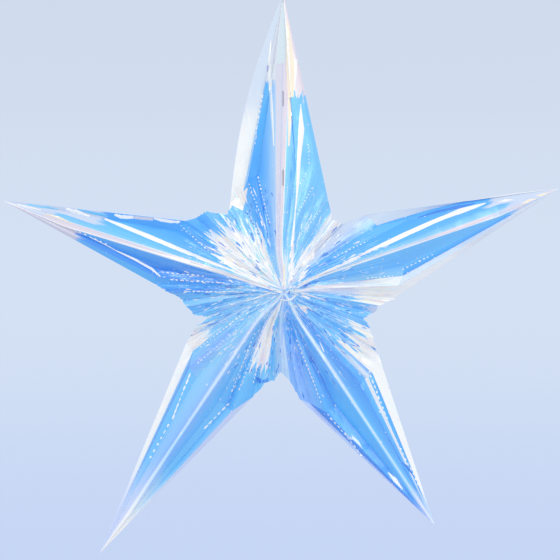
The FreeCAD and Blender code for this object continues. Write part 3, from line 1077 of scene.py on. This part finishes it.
def add_dashes(sheet, surface, start, end, pitch, length):
    """A row of pressed dashes between two places, each (angle, radius)."""
    ends = []
    for angle, radius in (start, end):
        turn = math.radians(angle)
        ends.append(Vector((radius * math.cos(turn), radius * math.sin(turn))))
    run = ends[1] - ends[0]
    along = run.normalized()
    for count in range(int(run.length / pitch) + 1):
        stray = random.uniform(-DASH_STRAY, DASH_STRAY)
        middle = ends[0] + along * (count * pitch) + Vector((stray, stray))
        half = along * (length * random.uniform(*DASH_HALF))
        width = random.uniform(*DASH_WIDTH) * (BOLD_SHARE if length > DASH_BOLD else FINE_SHARE)
        add_rib(sheet, surface, "white", [
            (*(middle - half), width * DASH_START),
            (*middle, width),
            (*(middle + half), width * DASH_END),
        ])


def add_shards(sheet, surface):
    """Small creases around the hub, lying along the pleats; the white ones are painted glints."""
    for paint, count, (low, high), (nearest, farthest), longest in SHARDS:
        for _ in range(count):
            turn = math.radians(random.uniform(low, high))
            radius = random.uniform(nearest, farthest)
            middle = Vector((math.cos(turn), math.sin(turn))) * radius
            lie = turn + math.radians(random.uniform(-SHARD_SLANT, SHARD_SLANT))
            half = Vector((math.cos(lie), math.sin(lie))) * random.uniform(*SHARD_HALF) * longest
            width = random.uniform(*SHARD_WIDTH) * (SHARD_LEAST + longest * SHARD_GROWTH)
            add_rib(sheet, surface, paint, [
                (*(middle - half), SHARD_POINT),
                (*(middle + half * SHARD_WIDEST), width),
                (*(middle + half), SHARD_POINT),
            ])


def front_normals(sheet, front_faces):
    """The way out of the sheet's front at each of its points, by number."""
    normals = {}
    for face in sheet.faces[:front_faces]:
        a, b, c = (sheet.points[number] for number in face[:3])
        normal = (b - a).cross(c - a)
        normal = normal if normal.y < 0 else -normal
        for number in face:
            normals[number] = normals.get(number, Vector()) + normal
    return normals


def add_back(sheet, front_faces):
    """The sheet's back, a thickness behind its front, and the rim between them."""
    back = {}
    for number, normal in front_normals(sheet, front_faces).items():
        point = sheet.points[number]
        thinned = THINNED * smooth(polar_of(point)[1], THINNING, FARTHEST)
        back[number] = len(sheet.points)
        sheet.points.append(point - normal.normalized() * (SHEET_THICKNESS * (1 - thinned)))
    edges = {}
    for face, corners in zip(sheet.faces[:front_faces], sheet.facts[:front_faces]):
        sheet.faces.append([back[number] for number in reversed(face)])
        sheet.facts.append(list(reversed(corners)))
        for i, number in enumerate(face):
            following = face[(i + 1) % len(face)]
            key = frozenset((number, following))
            edges[key] = None if key in edges else (number, following, corners[i])
    for first, second, fact in filter(None, edges.values()):
        sheet.faces.append([second, first, back[first], back[second]])
        sheet.facts.append([fact] * 4)


def write_fact(mesh, name, kind, field, values):
    attribute = mesh.attributes.new(name, kind, "CORNER")
    attribute.data.foreach_set(field, values)


def star_mesh(sheet):
    mesh = bpy.data.meshes.new("pleated_star")
    middle = Vector((0.0, 0.0, CENTRE_HEIGHT))
    mesh.from_pydata([(point + middle) * MM for point in sheet.points], [], sheet.faces)
    facts = [fact for corners in sheet.facts for fact in corners]
    for name in COLOUR_FACTS:
        values = [part for fact in facts for part in rgba(fact[name])]
        write_fact(mesh, name, "FLOAT_COLOR", "color", values)
    for name in LENGTH_FACTS:
        write_fact(mesh, name, "FLOAT", "value", [fact[name] for fact in facts])
    polar = [part for fact in facts for part in (*fact["polar"], 0.0)]
    write_fact(mesh, "polar", "FLOAT_VECTOR", "vector", polar)
    mesh.update()
    return mesh


def pleated_star():
    """The whole sheet: its arms, the hub, the creases on it, and its back."""
    sheet = Sheet()
    for arm in ARMS:
        for side in (1, -1):
            add_half_arm(sheet, arm, side)
    add_hub(sheet)
    front_faces = len(sheet.faces)
    surface = Surface(sheet)
    for paint, path in RIBS:
        add_rib(sheet, surface, paint, path)
    for row in DASHES:
        add_dashes(sheet, surface, *row)
    add_shards(sheet, surface)
    add_back(sheet, front_faces)
    return link(bpy.data.objects.new("pleated_star", star_mesh(sheet)))


random.seed(11)
thread = thread_curve()
thread.data.materials.append(plain_material(
    "twisted_thread", srgb(222, 226, 238), roughness=0.7, metallic=0.0, grain=0.35,
    grain_scale=4000.0,
))
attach(thread, "root")
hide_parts("hanging_thread")

star = pleated_star()
star.data.materials.append(film_material())
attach(star, "root")
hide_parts("folded_star")

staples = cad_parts["closing_staples"]
staples.data.materials.clear()
staples.data.materials.append(plain_material(
    "staple_wire", srgb(150, 155, 168), roughness=0.25, metallic=1.0, grain=0.3,
    grain_scale=900.0,
))


# Stage and light
LOW_SKY = srgb(198, 214, 245)
MIDDLE_SKY = srgb(212, 225, 244)
HIGH_SKY = srgb(208, 219, 237)
WORLD_LIGHT = 0.84
FLOOR_DEPTH = 0.85
FLOOR_SIZE = 3.0


def background():
    """A pale lavender-blue world that lights the star at a plain level."""
    world = bpy.data.worlds.new("studio")
    bpy.context.scene.world = world
    n = Nodes(world)
    direction = n.add("ShaderNodeTexCoord").outputs["Generated"]
    height = n.add("ShaderNodeSeparateXYZ", {"Vector": direction}).outputs["Z"]
    lower = n.mix(n.ramp(height, -0.2, -0.02), rgba(LOW_SKY), rgba(MIDDLE_SKY))
    colour = n.mix(n.ramp(height, 0.02, 0.2), lower, rgba(HIGH_SKY))
    shown = n.add("ShaderNodeBackground", {"Color": colour, "Strength": 1.0})
    white = rgba((1.0, 1.0, 1.0))
    light = n.add("ShaderNodeBackground", {"Color": white, "Strength": WORLD_LIGHT})
    path = n.add("ShaderNodeLightPath")
    seen = n.math("MAXIMUM", path.outputs["Is Camera Ray"], path.outputs["Is Glossy Ray"])
    inputs = {0: seen, 1: light.outputs[0], 2: shown.outputs[0]}
    either = n.add("ShaderNodeMixShader", inputs)
    n.add("ShaderNodeOutputWorld", {"Surface": either.outputs[0]})


def lamp(name, kind, energy, location, size):
    """A light that faces the star, its size in degrees for a sun and metres for a panel."""
    data = bpy.data.lights.new(name, kind)
    data.energy = energy
    if kind == "SUN":
        data.angle = math.radians(size)
    else:
        data.size = size
    obj = link(bpy.data.objects.new(name, data))
    obj.location = location
    aim = FRAMED_CENTRE - Vector(location)
    obj.rotation_euler = aim.to_track_quat("-Z", "Y").to_euler()


def floor():
    mesh = bpy.data.meshes.new("floor")
    reach = FLOOR_SIZE / 2
    corners = [(-reach, -reach), (reach, -reach), (reach, reach), (-reach, reach)]
    mesh.from_pydata([(x, y, -FLOOR_DEPTH) for x, y in corners], [], [(0, 1, 2, 3)])
    obj = link(bpy.data.objects.new("floor", mesh))
    mesh.materials.append(plain_material(
        "pale_floor", srgb(205, 216, 240), roughness=0.7, metallic=0.0, grain=0.03,
        grain_scale=6.0,
    ))


background()
lamp("key_light", "SUN", energy=0.65, location=(-0.8, -1.6, 1.0), size=25.0)
lamp("soft_panel", "AREA", energy=4.0, location=(1.1, -1.2, 0.3), size=0.8)
floor()

bpy.context.scene.view_settings.view_transform = "Standard"
bpy.context.view_layer.update()
